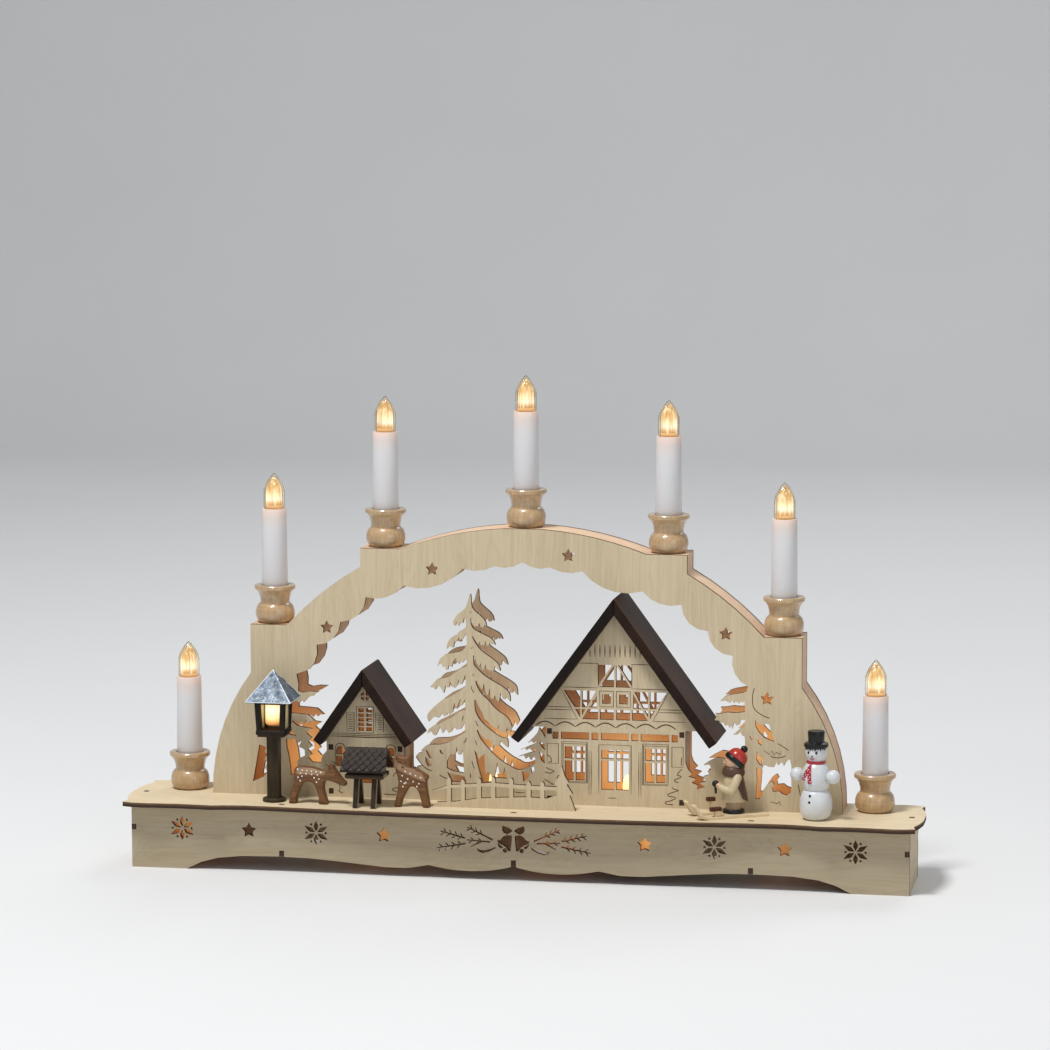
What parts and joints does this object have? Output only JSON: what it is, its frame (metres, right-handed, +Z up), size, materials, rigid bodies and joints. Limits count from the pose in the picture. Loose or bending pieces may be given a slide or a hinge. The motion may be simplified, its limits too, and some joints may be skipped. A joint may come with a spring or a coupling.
{
  "type": "led village silhouette",
  "caption": "Battery-lit wooden candle arch on a low base: cut village scene between sheets, pitched house roofs, turned cups with electric candles, and small painted figures.",
  "frame": {"origin": "middle of the footprint, on the surface that the base stands on", "axes": "+X to the right seen from the front, +Y to the back, +Z up"},
  "size_m": [0.5186, 0.0838, 0.3201],
  "materials": {
    "plywood": "sanded birch plywood with burnt edges",
    "turned_wood": "clear satin varnish",
    "candle_white": "satin white",
    "bulb_clear": "clear with warm light",
    "dark_roof": "dark brown stain",
    "dark_post": "dark stain",
    "silver_foil": "bright crinkled foil",
    "warm_screen": "warm light diffuser",
    "fawn_brown": "brown stain with white dots",
    "white_paint": "white gloss paint",
    "coat_paint": "glossy coloured paint",
    "dark_plastic": "fine matte grain",
    "cell_sleeve": "printed-free plain sleeve",
    "wire_dark": "matte insulation"
  },
  "bodies": {
    "arch": {"base_front_panel": "plywood", "base_back_panel": "plywood", "base_end_left": "plywood", "base_end_right": "plywood", "top_plate": "plywood", "rib_left": "plywood", "rib_middle": "plywood", "rib_right": "plywood", "arch_front_sheet": "plywood", "arch_back_sheet": "plywood", "cover_strip_crown": "plywood", "cover_strip_left": "plywood", "cover_strip_right": "plywood", "large_wall_left": "plywood", "large_wall_right": "plywood", "small_wall_left": "plywood", "small_wall_right": "plywood", "picket_fence": "plywood", "sledge": "plywood", "candle_cup_1": "turned_wood", "candle_sleeve_1": "candle_white", "candle_cup_2": "turned_wood", "candle_sleeve_2": "candle_white", "candle_cup_3": "turned_wood", "candle_sleeve_3": "candle_white", "candle_cup_4": "turned_wood", "candle_sleeve_4": "candle_white", "candle_cup_5": "turned_wood", "candle_sleeve_5": "candle_white", "candle_cup_6": "turned_wood", "candle_sleeve_6": "candle_white", "candle_cup_7": "turned_wood", "candle_sleeve_7": "candle_white", "large_roof_left": "dark_roof", "large_roof_right": "dark_roof", "small_roof_left": "dark_roof", "small_roof_right": "dark_roof", "feeding_rack": "dark_roof", "lamp_post": "dark_post", "lamp_screen": "warm_screen", "lamp_roof": "silver_foil", "fawn_grazing": "fawn_brown", "fawn_alert": "fawn_brown", "man_figure": "coat_paint", "snowman": "white_paint", "interior_lamp_left": "warm_screen", "interior_lamp_middle": "warm_screen", "interior_lamp_house": "warm_screen", "battery_box": "dark_plastic", "battery_pack": "cell_sleeve", "wiring_harness": "wire_dark"},
    "bulb_1": {"candle_bulb_1": "bulb_clear"},
    "bulb_2": {"candle_bulb_2": "bulb_clear"},
    "bulb_3": {"candle_bulb_3": "bulb_clear"},
    "bulb_4": {"candle_bulb_4": "bulb_clear"},
    "bulb_5": {"candle_bulb_5": "bulb_clear"},
    "bulb_6": {"candle_bulb_6": "bulb_clear"},
    "bulb_7": {"candle_bulb_7": "bulb_clear"},
    "cover": {"battery_cover": "dark_plastic"},
    "switch": {"switch_knob": "dark_plastic"}
  },
  "joints": [
    {"name": "bulb_1_turn", "type": "hinge", "parent": "arch", "child": "bulb_1", "pos_m": [-0.2259, 0.01685, 0.11905], "axis": [0, 0, 1], "range_deg": [0, 360]},
    {"name": "bulb_2_turn", "type": "hinge", "parent": "arch", "child": "bulb_2", "pos_m": [-0.167, 0.01685, 0.23115], "axis": [0, 0, 1], "range_deg": [0, 360]},
    {"name": "bulb_3_turn", "type": "hinge", "parent": "arch", "child": "bulb_3", "pos_m": [-0.0926, 0.01685, 0.28255], "axis": [0, 0, 1], "range_deg": [0, 360]},
    {"name": "bulb_4_turn", "type": "hinge", "parent": "arch", "child": "bulb_4", "pos_m": [0, 0.01685, 0.29715], "axis": [0, 0, 1], "range_deg": [0, 360]},
    {"name": "bulb_5_turn", "type": "hinge", "parent": "arch", "child": "bulb_5", "pos_m": [0.0926, 0.01685, 0.28255], "axis": [0, 0, 1], "range_deg": [0, 360]},
    {"name": "bulb_6_turn", "type": "hinge", "parent": "arch", "child": "bulb_6", "pos_m": [0.167, 0.01685, 0.23115], "axis": [0, 0, 1], "range_deg": [0, 360]},
    {"name": "bulb_7_turn", "type": "hinge", "parent": "arch", "child": "bulb_7", "pos_m": [0.2259, 0.01685, 0.11905], "axis": [0, 0, 1], "range_deg": [0, 360]},
    {"name": "cover_slide", "type": "slide", "parent": "arch", "child": "cover", "axis": [1, 0, 0], "range_m": [0, 0.035]},
    {"name": "switch_slide", "type": "slide", "parent": "arch", "child": "switch", "axis": [1, 0, 0], "range_m": [0, 0.004]}
  ]
}
